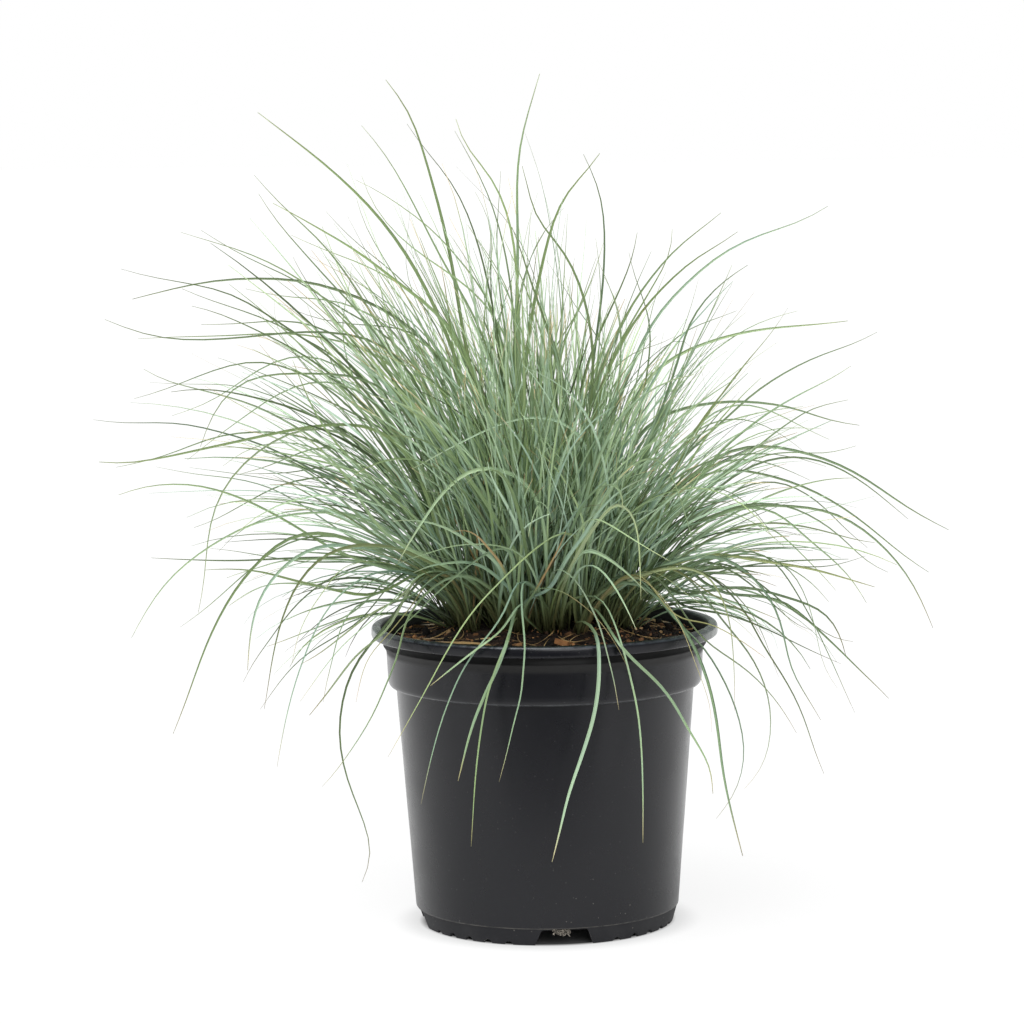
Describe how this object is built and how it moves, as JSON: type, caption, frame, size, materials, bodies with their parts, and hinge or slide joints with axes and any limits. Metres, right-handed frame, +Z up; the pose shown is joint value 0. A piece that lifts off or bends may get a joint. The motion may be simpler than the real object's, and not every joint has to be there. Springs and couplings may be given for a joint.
{
  "type": "potted grass",
  "caption": "Clump of narrow, arching blue-green grass leaves growing in potting mix in a round black plastic nursery pot with a rolled rim, a collar band and a notched foot.",
  "frame": {"origin": "on the pot's axis, at the ground that the pot stands on", "axes": "+Z up; the viewer of the picture looks along +Y, with +X to the right"},
  "size_m": [0.5721, 0.5467, 0.563],
  "materials": {
    "black_plastic": "satin",
    "potting_mix": "matte",
    "root_fibre": "matte",
    "bark": "matte",
    "dry_leaf": "matte",
    "grass_leaf": "satin"
  },
  "bodies": {
    "root": {"pot": "black_plastic", "soil": "potting_mix", "roots": "root_fibre", "bark_chip_1": "bark", "bark_chip_2": "bark", "bark_chip_3": "bark", "bark_chip_4": "bark", "bark_chip_5": "bark", "bark_chip_6": "bark", "fallen_leaf_1": "dry_leaf", "fallen_leaf_2": "dry_leaf", "fallen_leaf_3": "dry_leaf", "fallen_leaf_4": "dry_leaf", "fallen_leaf_5": "dry_leaf", "shoot_01": "grass_leaf", "shoot_02": "grass_leaf", "shoot_03": "grass_leaf", "shoot_04": "grass_leaf", "shoot_05": "grass_leaf", "shoot_06": "grass_leaf", "shoot_07": "grass_leaf", "shoot_08": "grass_leaf", "shoot_09": "grass_leaf", "shoot_10": "grass_leaf", "shoot_11": "grass_leaf", "shoot_12": "grass_leaf", "shoot_13": "grass_leaf", "shoot_14": "grass_leaf", "shoot_15": "grass_leaf", "shoot_16": "grass_leaf", "shoot_17": "grass_leaf", "shoot_18": "grass_leaf", "shoot_19": "grass_leaf", "shoot_20": "grass_leaf", "shoot_21": "grass_leaf", "shoot_22": "grass_leaf", "shoot_23": "grass_leaf", "shoot_24": "grass_leaf", "shoot_25": "grass_leaf", "shoot_26": "grass_leaf", "shoot_27": "grass_leaf", "shoot_28": "grass_leaf", "shoot_29": "grass_leaf", "shoot_30": "grass_leaf", "shoot_31": "grass_leaf", "shoot_32": "grass_leaf", "shoot_33": "grass_leaf", "shoot_34": "grass_leaf", "shoot_35": "grass_leaf", "shoot_36": "grass_leaf", "shoot_37": "grass_leaf", "shoot_38": "grass_leaf", "shoot_39": "grass_leaf", "shoot_40": "grass_leaf"}
  },
  "joints": []
}
